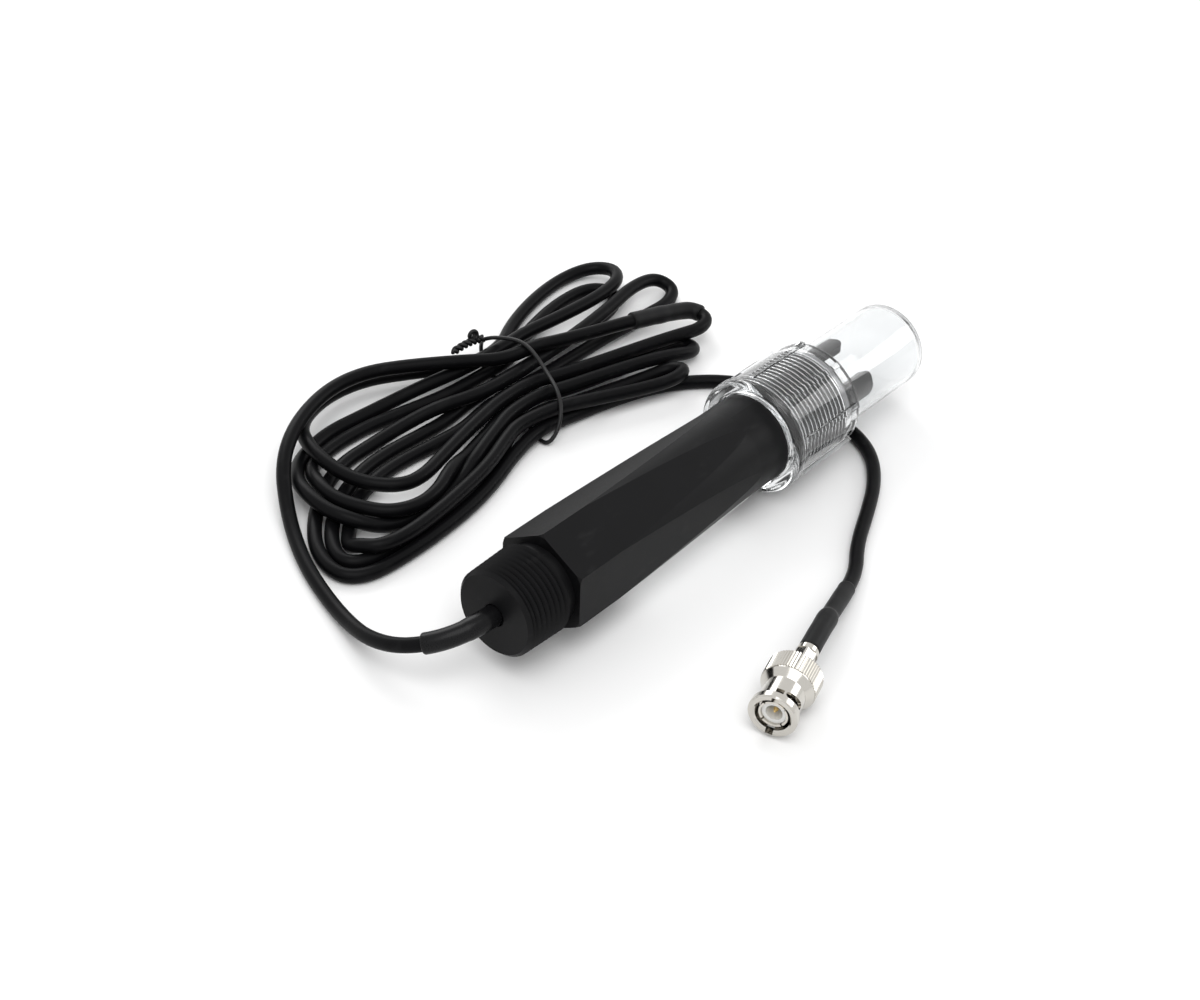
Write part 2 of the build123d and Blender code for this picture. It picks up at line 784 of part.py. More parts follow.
# Rings between the plug body and the nut
make_ring(
    "plug_seal",
    plug_plane,
    plug_axis,
    ring_profile(
        collar_front - running_gap - seal_thickness,
        collar_front - running_gap,
        contact_radius + running_gap,
        plug_collar_radius,
    ),
)
washer_outer = nut_chamber_radius - loose_gap
washer_inner = plug_neck_radius + running_gap
make_ring(
    "spring_washer",
    plug_plane,
    plug_axis,
    ring_profile(collar_back + running_gap, collar_back + running_gap + washer_thickness, washer_inner, washer_outer),
)
make_ring(
    "thrust_washer",
    plug_plane,
    plug_axis,
    ring_profile(
        nut_flange_start - running_gap - washer_thickness, nut_flange_start - running_gap, washer_inner, washer_outer
    ),
)
make_ring(
    "retaining_clip",
    plug_plane,
    plug_axis,
    ring_profile(
        clip_start,
        clip_start + clip_thickness,
        plug_neck_radius - clip_depth + running_gap,
        nut_recess_radius - loose_gap,
    ),
)

# Crimped ferrule: a tube pressed to a hexagon over its middle
crimp_start = ferrule_start + crimp_margin
crimp_length = ferrule_length - 2 * crimp_margin
with BuildPart() as crimp_ferrule:
    with BuildSketch(plug_cross_plane(ferrule_start)):
        Circle(ferrule_radius)
        Circle(ferrule_bore_radius, mode=Mode.SUBTRACT)
    extrude(amount=ferrule_length)
    with BuildSketch(plug_cross_plane(crimp_start)):
        Circle(2 * ferrule_radius)
        RegularPolygon(crimp_across_flats / 2, 6, major_radius=False, rotation=crimp_turn, mode=Mode.SUBTRACT)
    extrude(amount=crimp_length, mode=Mode.SUBTRACT)
finish(crimp_ferrule, "crimp_ferrule")
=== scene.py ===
"""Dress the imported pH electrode: its cable and hank, plug, clear cap, label and finishes.

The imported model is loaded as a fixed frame. Every new piece is placed in that frame in metres and
rides on one of its bodies. Sizes in the classes are in millimetres and are turned into metres once,
where a mesh or a curve is made.
"""

import json
import logging
from dataclasses import dataclass, field
from enum import Enum

import bmesh
import bpy
import numpy as np
from mathutils import Matrix

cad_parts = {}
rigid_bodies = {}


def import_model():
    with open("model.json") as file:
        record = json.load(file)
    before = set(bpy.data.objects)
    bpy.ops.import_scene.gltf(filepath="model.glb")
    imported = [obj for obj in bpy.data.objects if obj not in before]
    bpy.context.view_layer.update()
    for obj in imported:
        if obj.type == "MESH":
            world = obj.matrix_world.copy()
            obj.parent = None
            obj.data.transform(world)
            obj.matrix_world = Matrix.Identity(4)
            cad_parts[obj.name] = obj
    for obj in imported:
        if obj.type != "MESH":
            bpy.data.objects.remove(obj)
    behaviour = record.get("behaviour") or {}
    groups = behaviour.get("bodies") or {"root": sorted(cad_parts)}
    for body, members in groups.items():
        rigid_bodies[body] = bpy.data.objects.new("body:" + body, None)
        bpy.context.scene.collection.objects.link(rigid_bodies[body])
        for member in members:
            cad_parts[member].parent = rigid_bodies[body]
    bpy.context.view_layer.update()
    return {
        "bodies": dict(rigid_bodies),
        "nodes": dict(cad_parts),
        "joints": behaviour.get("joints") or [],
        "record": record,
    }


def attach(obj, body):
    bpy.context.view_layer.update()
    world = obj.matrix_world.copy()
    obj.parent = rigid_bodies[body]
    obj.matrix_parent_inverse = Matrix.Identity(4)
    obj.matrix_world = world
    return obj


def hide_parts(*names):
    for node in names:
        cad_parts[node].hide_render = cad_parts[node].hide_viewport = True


LOG = logging.getLogger("ph_electrode")
MILLIMETRE = 0.001
MERGE_DISTANCE = 0.001 * MILLIMETRE
Pair = tuple[float, float]
Point = tuple[float, float, float]
Socket = bpy.types.NodeSocket
UP = (0.0, 0.0, 1.0)

# Reach of a rounded rim in millimetres, and the share of the radius at which it starts
RIM_REACH = 0.8
RIM_SHARE = 0.72


class Body(Enum):
    """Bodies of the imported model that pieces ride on."""

    ELECTRODE = "electrode"
    CAP = "cap"


# Meshes from arrays


def new_mesh_object(name: str, vertices: np.ndarray, faces: np.ndarray) -> bpy.types.Object:
    """Put arrays of vertices and quads into a new smooth mesh object.

    Args:
        name: the piece's name.
        vertices: rows of x, y, z in millimetres.
        faces: rows of four vertex numbers.

    Returns:
        The new object, at the origin.
    """
    mesh = bpy.data.meshes.new(name)
    mesh.from_pydata((vertices * MILLIMETRE).tolist(), [], faces.tolist())
    mesh.polygons.foreach_set("use_smooth", np.ones(len(faces), dtype=bool))
    mesh.update()
    piece = bpy.data.objects.new(name, mesh)
    bpy.context.scene.collection.objects.link(piece)
    return piece


def ring_faces(rows: int, columns: int) -> np.ndarray:
    """Number the quads between rows of vertices, each row a ring that closes on itself.

    Args:
        rows: number of rings.
        columns: number of vertices in a ring.

    Returns:
        Rows of four vertex numbers.
    """
    row, column = np.meshgrid(np.arange(rows - 1), np.arange(columns), indexing="ij")
    here = row * columns
    above = here + columns
    after = (column + 1) % columns
    corners = [here + column, here + after, above + after, above + column]
    return np.stack([corner.ravel() for corner in corners], axis=1)


def path_frames(path: np.ndarray, across: Point) -> tuple[np.ndarray, np.ndarray]:
    """Give two unit vectors across a path at each of its points.

    The tangent is the difference of the points on each side. The side vector is the tangent crossed
    with a fixed direction, and the rising vector is the side vector crossed with the tangent.

    Args:
        path: rows of x, y, z along the path.
        across: a direction that the path never runs along.

    Returns:
        The side vectors and the rising vectors, one row each for a point.
    """
    tangent = np.gradient(path, axis=0)
    tangent /= np.linalg.norm(tangent, axis=1, keepdims=True)
    side = np.cross(tangent, np.array(across))
    side /= np.linalg.norm(side, axis=1, keepdims=True)
    return side, np.cross(side, tangent)


def tube_piece(
    name: str, path: np.ndarray, radii: np.ndarray, sides: int, across: Point = UP
) -> bpy.types.Object:
    """Make a closed round surface along a path, its ends drawn to a point on the path.

    The point at step i and turn t is path(i) + radius(i) (side(i) cos t + rising(i) sin t). Both end
    rings are set on the path itself, so they close the surface.

    Args:
        name: the piece's name.
        path: rows of x, y, z in millimetres.
        radii: one radius for each row, in millimetres.
        sides: number of vertices round the path.
        across: a direction that the path never runs along.

    Returns:
        The new object.
    """
    side, rising = path_frames(path, across)
    turn = np.linspace(0.0, 2.0 * np.pi, sides, endpoint=False)[None, :, None]
    rings = path[:, None, :] + radii[:, None, None] * (
        side[:, None, :] * np.cos(turn) + rising[:, None, :] * np.sin(turn)
    )
    rings[0] = path[0]
    rings[-1] = path[-1]
    piece = new_mesh_object(name, rings.reshape(-1, 3), ring_faces(len(path), sides))
    merge_and_face_out(piece)
    return piece


def merge_and_face_out(piece: bpy.types.Object) -> None:
    """Merge the doubled vertices of a mesh and turn its faces outwards."""
    mesh = bmesh.new()
    mesh.from_mesh(piece.data)
    bmesh.ops.remove_doubles(mesh, verts=mesh.verts, dist=MERGE_DISTANCE)
    bmesh.ops.recalc_face_normals(mesh, faces=mesh.faces)
    mesh.to_mesh(piece.data)
    mesh.free()


def smooth_through(corners: np.ndarray, steps: int) -> np.ndarray:
    """Round a row of corners into one even line, a uniform cubic B-spline.

    Between corners the line is the sum of four corners weighed by (1-u)^3, 3u^3-6u^2+4,
    -3u^3+3u^2+3u+1 and u^3, all over six, where u runs from 0 to 1. The first and last corners are
    repeated, so the line starts and ends at them.

    Args:
        corners: rows of x, y, z in millimetres.
        steps: number of points between two corners.

    Returns:
        Rows of x, y, z along the line.
    """
    held = np.vstack([corners[:1], corners[:1], corners, corners[-1:], corners[-1:]])
    spans = len(held) - 3
    place = np.linspace(0.0, spans, spans * steps, endpoint=False)
    first = place.astype(int)
    u = (place - first)[:, None]
    weights = [(1 - u) ** 3, 3 * u**3 - 6 * u**2 + 4, -3 * u**3 + 3 * u**2 + 3 * u + 1, u**3]
    return sum(weight * held[first + index] for index, weight in enumerate(weights)) / 6.0


def rounded_ends(body: np.ndarray, step: float) -> np.ndarray:
    """Round a row of radii at both ends, each along a quarter circle, and close it there.

    The radius at a distance d from an end is body * (s + (1 - s) sqrt(1 - (1 - d/r)^2)) within the rim's
    reach r of that end, where s is the rim's share, and body beyond it. At the end itself it is nothing.

    Args:
        body: radius of each row before its end is rounded.
        step: distance between rows.

    Returns:
        One radius for each row, with zero at both ends.
    """
    place = np.arange(len(body))
    reach = np.clip(np.minimum(place, place[::-1]) * step / RIM_REACH, 0.0, 1.0)
    edge = np.sqrt(1.0 - (1.0 - reach) ** 2)
    return body * np.where(reach > 0.0, RIM_SHARE + (1.0 - RIM_SHARE) * edge, 0.0)


# Finishes

EVEN = (1.0, 1.0, 1.0)
FINE_DETAIL = 3.0
BROAD_DETAIL = 4.0

# Turn that lays the plug's axis along x, in radians, and how close features lie along and across it
PLUG_TURN = -0.288
LINE_STRETCH = (1.0, 0.02, 0.02)

# Scuffs: features for each metre, detail, stretch, the noise where they start and are full, their grey
# and the share by which they roughen
MARK_SCALE = 240.0
MARK_DETAIL = 6.0
MARK_STRETCH = (0.35, 1.0, 1.0)
MARK_START = 0.6
MARK_FULL = 0.75
MARK_GREY = (0.22, 0.22, 0.22, 1.0)
MARK_ROUGHNESS = 0.33


class Kind(Enum):
    """Ways in which a finish treats its base."""

    PLAIN = "plain"
    TURNED = "turned"
    CLEAR = "clear"


@dataclass(frozen=True)
class Finish:
    """One finish: a colour, its gloss, and the grain that changes both over the surface.

    Grain and mottle are features for each metre. Rise is the grain's height in millimetres.
    """

    slot: str
    colour: tuple[float, float, float]
    roughness: float
    kind: Kind = Kind.PLAIN
    metallic: float = 0.0
    specular: float = 0.5
    grain: float = 2400.0
    mottle: float = 70.0
    shade: float = 0.25
    spread: float = 0.12
    rise: float = 0.02
    bend: float = 1.5
    marks: float = 0.0

    def material(self) -> bpy.types.Material:
        """Make this finish's material from the shared node groups."""
        material = bpy.data.materials.new(self.slot + "_finish")
        material.use_nodes = True
        tree = material.node_tree
        shader = tree.nodes["Principled BSDF"]
        gloss = {"Metallic": self.metallic, "Specular IOR Level": self.specular, "IOR": self.bend}
        if self.kind is Kind.CLEAR:
            gloss["Transmission Weight"] = 1.0
        set_inputs(shader, gloss)
        grain = tree.nodes.new("ShaderNodeGroup")
        grain.node_tree = turned_lines() if self.kind is Kind.TURNED else moulded_grain()
        set_inputs(grain, {"Colour": (*self.colour, 1.0), "Grain": self.grain, "Mottle": self.mottle})
        set_inputs(grain, {"Shade": self.shade, "Roughness": self.roughness, "Spread": self.spread})
        colour = grain.outputs["Colour"]
        roughness = grain.outputs["Roughness"]
        if self.marks:
            marks = tree.nodes.new("ShaderNodeGroup")
            marks.node_tree = handling_marks()
            marks.inputs["Strength"].default_value = self.marks
            tree.links.new(colour, marks.inputs["Colour"])
            tree.links.new(roughness, marks.inputs["Roughness"])
            colour = marks.outputs["Colour"]
            roughness = marks.outputs["Roughness"]
        bump = tree.nodes.new("ShaderNodeBump")
        bump.inputs["Distance"].default_value = self.rise * MILLIMETRE
        tree.links.new(grain.outputs["Height"], bump.inputs["Height"])
        tree.links.new(colour, shader.inputs["Base Color"])
        tree.links.new(roughness, shader.inputs["Roughness"])
        tree.links.new(bump.outputs["Normal"], shader.inputs["Normal"])
        return material


def set_inputs(node: bpy.types.Node, values: dict[str, float | tuple[float, ...]]) -> None:
    """Set a node's named inputs to plain values."""
    for name, value in values.items():
        node.inputs[name].default_value = value


def new_group(name: str, inputs: dict[str, str], outputs: dict[str, str]) -> bpy.types.NodeTree:
    """Make an empty shader node group with named sockets and its two end nodes.

    Args:
        name: the group's name.
        inputs: each input's name and the kind of its socket.
        outputs: each output's name and the kind of its socket.

    Returns:
        The new group.
    """
    group = bpy.data.node_groups.new(name, "ShaderNodeTree")
    for label, socket in inputs.items():
        group.interface.new_socket(label, in_out="INPUT", socket_type="NodeSocket" + socket)
    for label, socket in outputs.items():
        group.interface.new_socket(label, in_out="OUTPUT", socket_type="NodeSocket" + socket)
    group.nodes.new("NodeGroupInput").name = "in"
    group.nodes.new("NodeGroupOutput").name = "out"
    return group


def math_node(
    group: bpy.types.NodeTree, operation: str, first: Socket | float, second: Socket | float
) -> Socket:
    """Add a Math node to a group.

    Args:
        group: the group.
        operation: the node's operation.
        first: a socket or a number.
        second: a socket or a number.

    Returns:
        The node's output socket.
    """
    node = group.nodes.new("ShaderNodeMath")
    node.operation = operation
    for socket, value in zip(node.inputs, (first, second)):
        if isinstance(value, Socket):
            group.links.new(value, socket)
        else:
            socket.default_value = value
    return node.outputs[0]


def noise_node(
    group: bpy.types.NodeTree, scale: Socket | float, detail: float, stretch: Point
) -> Socket:
    """Add noise on Object coordinates to a group.

    Args:
        group: the group.
        scale: a socket or a number, features for each metre.
        detail: number of finer layers.
        stretch: how much closer the features lie along x, y and z.

    Returns:
        The noise's value socket.
    """
    place = group.nodes.new("ShaderNodeTexCoord")
    mapping = group.nodes.new("ShaderNodeMapping")
    mapping.inputs["Scale"].default_value = stretch
    noise = group.nodes.new("ShaderNodeTexNoise")
    noise.inputs["Detail"].default_value = detail
    group.links.new(place.outputs["Object"], mapping.inputs["Vector"])
    group.links.new(mapping.outputs["Vector"], noise.inputs["Vector"])
    if isinstance(scale, Socket):
        group.links.new(scale, noise.inputs["Scale"])
    else:
        noise.inputs["Scale"].default_value = scale
    return noise.outputs["Fac"]


GRAIN_VALUES = ("Grain", "Mottle", "Shade", "Roughness", "Spread")
GRAIN_INPUTS = {"Colour": "Color"} | dict.fromkeys(GRAIN_VALUES, "Float")
GRAIN_OUTPUTS = {"Colour": "Color", "Roughness": "Float", "Height": "Float"}


def shade_and_spread(group: bpy.types.NodeTree, fine: Socket, broad: Socket) -> None:
    """Finish a grain group: its colour, roughness and height from fine and broad noise.

    Colour is the base times 1 + Shade (broad - 0.5) 2. Roughness is the base plus Spread times
    fine + broad - 1. Height is the fine noise.

    Args:
        group: the group, with its sockets made.
        fine: the fine noise.
        broad: the broad noise.
    """
    given = group.nodes["in"].outputs
    swing = math_node(group, "SUBTRACT", math_node(group, "MULTIPLY", broad, 2.0), 1.0)
    factor = math_node(group, "ADD", math_node(group, "MULTIPLY", swing, given["Shade"]), 1.0)
    tint = group.nodes.new("ShaderNodeVectorMath")
    tint.operation = "SCALE"
    group.links.new(given["Colour"], tint.inputs["Vector"])
    group.links.new(factor, tint.inputs["Scale"])
    both = math_node(group, "SUBTRACT", math_node(group, "ADD", fine, broad), 1.0)
    rough = math_node(group, "ADD", math_node(group, "MULTIPLY", both, given["Spread"]), given["Roughness"])
    result = group.nodes["out"].inputs
    group.links.new(tint.outputs["Vector"], result["Colour"])
    group.links.new(rough, result["Roughness"])
    group.links.new(fine, result["Height"])


def moulded_grain() -> bpy.types.NodeTree:
    """Give the group for moulded, cast and extruded surfaces: even grain over slow mottling."""
    group = bpy.data.node_groups.get("moulded_grain")
    if group is None:
        group = new_group("moulded_grain", GRAIN_INPUTS, GRAIN_OUTPUTS)
        given = group.nodes["in"].outputs
        fine = noise_node(group, given["Grain"], FINE_DETAIL, EVEN)
        broad = noise_node(group, given["Mottle"], BROAD_DETAIL, EVEN)
        shade_and_spread(group, fine, broad)
    return group


def turned_lines() -> bpy.types.NodeTree:
    """Give the group for turned metal: fine lines across the plug's axis over slow mottling."""
    group = bpy.data.node_groups.get("turned_lines")
    if group is None:
        group = new_group("turned_lines", GRAIN_INPUTS, GRAIN_OUTPUTS)
        given = group.nodes["in"].outputs
        place = group.nodes.new("ShaderNodeTexCoord")
        turn = group.nodes.new("ShaderNodeMapping")
        turn.inputs["Rotation"].default_value = (0.0, 0.0, PLUG_TURN)
        stretch = group.nodes.new("ShaderNodeMapping")
        stretch.inputs["Scale"].default_value = LINE_STRETCH
        noise = group.nodes.new("ShaderNodeTexNoise")
        noise.inputs["Detail"].default_value = BROAD_DETAIL
        group.links.new(place.outputs["Object"], turn.inputs["Vector"])
        group.links.new(turn.outputs["Vector"], stretch.inputs["Vector"])
        group.links.new(stretch.outputs["Vector"], noise.inputs["Vector"])
        group.links.new(given["Grain"], noise.inputs["Scale"])
        broad = noise_node(group, given["Mottle"], FINE_DETAIL, EVEN)
        shade_and_spread(group, noise.outputs["Fac"], broad)
    return group


def handling_marks() -> bpy.types.NodeTree:
    """Give the group for faint scuffs from handling: sparse paler, rougher patches.

    The mask runs from where stretched noise starts a mark to where it is full. Colour is the given
    colour moved towards grey by Strength times the mask, and roughness rises by a share of that.
    """
    group = bpy.data.node_groups.get("handling_marks")
    if group is None:
        group = new_group(
            "handling_marks",
            {"Colour": "Color", "Roughness": "Float", "Strength": "Float"},
            {"Colour": "Color", "Roughness": "Float"},
        )
        given = group.nodes["in"].outputs
        noise = noise_node(group, MARK_SCALE, MARK_DETAIL, MARK_STRETCH)
        ramp = group.nodes.new("ShaderNodeMapRange")
        set_inputs(ramp, {"From Min": MARK_START, "From Max": MARK_FULL})
        group.links.new(noise, ramp.inputs["Value"])
        mask = math_node(group, "MULTIPLY", ramp.outputs["Result"], given["Strength"])
        mix = group.nodes.new("ShaderNodeMix")
        mix.data_type = "RGBA"
        colour_in, colour_to = [socket for socket in mix.inputs if socket.type == "RGBA"]
        colour_out = next(socket for socket in mix.outputs if socket.type == "RGBA")
        colour_to.default_value = MARK_GREY
        group.links.new(given["Colour"], colour_in)
        group.links.new(mask, mix.inputs["Factor"])
        rise = math_node(group, "MULTIPLY", mask, MARK_ROUGHNESS)
        rough = math_node(group, "ADD", rise, given["Roughness"])
        result = group.nodes["out"].inputs
        group.links.new(colour_out, result["Colour"])
        group.links.new(rough, result["Roughness"])
    return group


class Finishes:
    """Every finish of the electrode, one for each material slot of the record."""

    def __init__(self) -> None:
        """List the finishes and make their materials."""
        clear = Kind.CLEAR
        turned = Kind.TURNED
        listed = [
            Finish(
                "body_plastic", (0.0045, 0.0045, 0.005), 0.42, specular=0.11, rise=0.012, marks=0.03,
            ),
            Finish("label_film", (0.80, 0.81, 0.81), 0.42, shade=0.03, spread=0.06, rise=0.004),
            Finish(
                "thin_glass", (0.93, 0.96, 0.96), 0.03, clear,
                shade=0.02, spread=0.02, rise=0.001, bend=1.47,
            ),
            Finish("porous_plastic", (0.72, 0.71, 0.66), 0.85, grain=6000.0, shade=0.08, rise=0.08),
            Finish("seal_rubber", (0.03, 0.03, 0.031), 0.7, specular=0.3),
            Finish("stopper_rubber", (0.10, 0.10, 0.105), 0.7, specular=0.3),
            Finish("silver_wire", (0.74, 0.73, 0.70), 0.3, metallic=1.0, shade=0.08, rise=0.003),
            Finish("potting_resin", (0.05, 0.048, 0.045), 0.35, rise=0.006),
            Finish(
                "clear_plastic", (0.93, 0.94, 0.945), 0.05, clear,
                shade=0.015, spread=0.03, rise=0.002, bend=1.47,
            ),
            Finish("cap_rubber", (0.26, 0.26, 0.27), 0.65, rise=0.015),
            Finish(
                "cable_jacket", (0.0035, 0.0035, 0.004), 0.36,
                specular=0.07, mottle=90.0, rise=0.010, marks=0.02,
            ),
            Finish("boot_plastic", (0.005, 0.005, 0.0055), 0.26, specular=0.15, rise=0.004),
            Finish(
                "sleeve_plastic", (0.009, 0.009, 0.0095), 0.46, specular=0.14, grain=3200.0, rise=0.012,
            ),
            Finish("tie_plastic", (0.009, 0.009, 0.0095), 0.38, specular=0.25, rise=0.008),
            Finish(
                "nickel_plate", (0.56, 0.54, 0.50), 0.13, turned, 1.0,
                grain=5200.0, shade=0.05, spread=0.14, rise=0.003,
            ),
            Finish(
                "contact_plate", (0.62, 0.59, 0.54), 0.22, turned, 1.0,
                grain=5200.0, shade=0.05, spread=0.14, rise=0.003,
            ),
            Finish("white_insulator", (0.82, 0.82, 0.80), 0.45, shade=0.03, spread=0.06, rise=0.004),
            Finish(
                "gold_plate", (0.86, 0.62, 0.26), 0.2, metallic=1.0, shade=0.05, spread=0.06, rise=0.002,
            ),
            Finish(
                "washer_steel", (0.56, 0.56, 0.55), 0.34, turned, 1.0, grain=4200.0, shade=0.06, rise=0.003,
            ),
        ]
        self.materials = {finish.slot: finish.material() for finish in listed}

    def dress_nodes(self, frame: dict) -> None:
        """Give every carried-over node the material of its own slot."""
        for subpart in frame["record"]["subparts"]:
            node = frame["nodes"][subpart["node"]]
            node.data.materials.clear()
            node.data.materials.append(self.materials[subpart["material_slot"]])

    def dress(self, piece: bpy.types.Object, slot: str) -> None:
        """Give a new piece one slot's material."""
        piece.data.materials.append(self.materials[slot])


# The cable


@dataclass
class Waist:
    """Places of the strands where the tie gathers them, in two layers.

    The strand numbered n crosses the tie at centre + n * step, even numbers in the lower layer.
    """

    centre: Pair = (-1.0, 75.0)
    step: Pair = (1.464, 3.069)
    reach: float = 7.0
    lower: float = 3.47
    upper: float = 6.6

    def strand(self, number: int, heading: int) -> list[Point]:
        """Give the two points of one strand at the tie.

        Args:
            number: the strand's number, from -6 to 6.
            heading: 1 where the cable runs to the cap's end, -1 where it runs back.

        Returns:
            Two points, in the order in which the cable passes them.
        """
        x = self.centre[0] + number * self.step[0]
        y = self.centre[1] + number * self.step[1]
        z = self.upper if number % 2 else self.lower
        return [(x - heading * self.reach, y, z), (x + heading * self.reach, y, z)]


@dataclass
class CableRun:
    """One cable from the body, through six turns of the hank, to the plug."""

    diameter: float = 4.3
    rest: float = 2.17
    axis_height: float = 18.1
    length: float = 2400.0
    smoothness: int = 8
    roundness: int = 6
    waist: Waist = field(default_factory=Waist)

    def lead(self) -> list[Point]:
        """Give the points from the body to the hank, climbing over its outer turns."""
        rest = self.rest
        axis = self.axis_height
        return [
            (-86.3, 0, axis), (-97, 0, axis), (-107, 4.2, 15.6), (-113.2, 13.2, 11.4),
            (-113.4, 24.6, 6.8), (-109.8, 36.5, 3.1), (-106, 48.5, rest), (-101.5, 60.3, rest),
            (-95.5, 71.5, 2.6), (-89.3, 81.2, 4.6), (-81.4, 91.4, 8.6), (-71.2, 98.6, 11),
        ]

    def crossing(self) -> list[Point]:
        """Give the points where the cable crosses the top of the hank to the tie."""
        return [
            (-58, 104.4, 11.1), (-45, 106.8, 11.1), (-33, 105, 11.1), (-22, 99, 11.1), (-11, 91.8, 11),
            (-4.5, 88.2, 10.3), (2, 85, 9.2), (8, 82.5, 9.4),
        ]

    def turns(self) -> list[Point]:
        """Give the points of the hank's turns, from end to end through the tie."""
        at = self.waist.strand
        return [
            (14.5, 80.2, 11), (23, 76.6, 11), (34, 72.8, 10.9), (47, 69.4, 10.4), (59, 66.6, 9),
            (67.5, 64.4, 7.9), (72.8, 62, 7.2), (73, 56.2, 6.9), (66.8, 54, 6.8), (58, 56.8, 6.8),
            (46, 60.2, 6.7), (31, 63.9, 6.6), (14, 68.3, 6.6), *at(-1, -1),
            (-20, 70.2, 6.6), (-31, 67.8, 6.6), (-42, 65.2, 6.6), (-52, 62.6, 6.6), (-60, 63, 6.8),
            (-66.5, 68.6, 7), (-69.8, 77, 7.1), (-69.8, 87, 7.5), (-67.8, 95, 7.4), (-63.5, 102.5, 6.5),
            (-55, 108, 5.2), (-43, 110.6, 4.6), (-30, 109, 4.4), (-18, 103, 4.2), (-8, 97.5, 3.8),
            *at(6, 1),
            (27, 100.3, 2.3), (43, 105.3, 2.2), (59, 107.5, 2.2), (71, 105, 3), (75, 97.5, 4.6),
            (69, 90.5, 6.2), (57, 88.3, 6.6), (40, 89, 6.6), (22, 90.7, 6.8), *at(5, -1),
            (-11, 91.4, 6.5), (-20, 93.6, 5.6), (-30, 96.4, 3.6), (-42, 98.6, 2.3), (-54, 99.6, 2.2),
            (-64, 97.8, 2.2), (-72.5, 94.3, 2.8), (-79.6, 87.4, 5.2), (-83.2, 79.5, 6.7),
            (-84.2, 70.5, 6.7), (-82, 63.4, 6.4), (-77.5, 58.4, 4.4), (-71.5, 56.2, 2.4),
            (-62, 54.8, 2.2), (-52, 55.3, 2.3), (-46, 56, 2.7), (-40, 57, 4.3), (-35, 58.5, 6.1),
            (-28, 60.8, 6.4), (-21, 63, 6.5), *at(-3, 1),
            (10, 63, 6.6), (24, 59.4, 6.6), (36, 56, 6.6), (47, 52.6, 6.2), (56, 49.8, 4.6),
            (61.4, 51.6, 3), (61.6, 57, 2.3), (55, 59.2, 2.2), (44, 60.6, 2.2), (30, 62.6, 2.2),
            (14, 65.5, 2.4), *at(-2, -1),
            (-22, 65.9, 3.4), (-35, 62.5, 3.7), (-41, 61, 5.4), (-47, 58.4, 6.7), (-55, 54.8, 6.7),
            (-64, 54, 6.7), (-72, 57.6, 6.7), (-76.6, 65, 6.7), (-79, 73, 6.7), (-77.6, 80.5, 6.6),
            (-73.6, 87.6, 4.6), (-67, 92.2, 2.4), (-58, 94, 2.2), (-46, 94, 2.2), (-35, 92.2, 2.2),
            (-23, 89.8, 2.3), (-13, 88, 2.8), *at(4, 1),
            (17, 90.8, 2.2), (32, 95.4, 2.2), (48, 98.6, 2.2), (62, 98, 2.2), (67.5, 91.5, 2.2),
            (62, 85.3, 2.2), (50, 83.4, 2.2), (34, 83.2, 2.2), (18, 82.4, 2.4), *at(2, -1),
            (-15, 81.1, 2.8), (-25, 79.8, 2.2), (-36, 80.2, 2.2), (-48, 80.9, 2.2), (-59, 80.2, 2.2),
            (-67.5, 77.9, 2.2), (-76, 74, 2.2), (-84, 68.4, 2.2), (-89.6, 62.6, 2.2), (-92.6, 57, 2.2),
            (-91.5, 52.8, 2.2), (-86, 50.2, 2.2), (-76, 49.8, 2.2), (-60, 50, 2.2), (-46, 51.6, 2.2),
            (-35, 54.7, 2.2), (-22, 59, 2.3), *at(-4, 1),
            (8, 60.2, 2.4), (20, 57.3, 2.2), (32, 54.2, 2.2), (40.5, 51.8, 2.8), (46, 48.8, 4.4),
            (45.6, 43.4, 6.6), (38, 42.4, 6.8), (26.5, 46.6, 6.6), (12, 52.5, 7.1), (-1, 57.5, 7.6),
            (-15.3, 59.3, 7.6), (-22, 57.8, 7.2), (-35, 53.2, 6.6), (-48, 50.6, 6.5), (-64, 48.2, 6.5),
            (-77, 47.6, 6.5), (-84.5, 49.4, 6.5), (-87, 53.8, 5.6), (-87.4, 58, 3), (-84.2, 61.6, 2.2),
            (-79.2, 65.6, 2.2), (-72.5, 70.9, 2.2), (-62, 74.4, 2.2), (-50, 75.4, 2.2),
            (-37, 74.2, 2.2), (-24, 73.4, 2.3), (-15, 75, 2.8), *at(0, 1),
            (16, 75.3, 2.4), (34, 75.6, 2.2), (50, 75.6, 2.2), (64, 74.8, 2.2), (76, 74.2, 2.2),
            (83, 77.8, 3), (81, 84.6, 4.9), (69, 84.9, 6.4), (53, 81.6, 6.6), (34, 79.4, 6.6),
            (16, 78.6, 6.6), *at(1, -1),
            (-16, 79.4, 6.9), (-27, 82.4, 6.8), (-38, 85.4, 4.2), (-50, 86.6, 2.4), (-61, 86.4, 2.2),
            (-70, 83.6, 2.2), (-79, 78.6, 2.2), (-87.5, 72, 2.2), (-94, 64.5, 2.2), (-97.3, 56.5, 2.2),
            (-96.8, 50, 2.2), (-91, 46, 2.2), (-80, 45, 2.2), (-64, 45.4, 2.2), (-48, 47.2, 2.2),
            (-35, 50.3, 2.2), (-22, 54.6, 2.8),
        ]

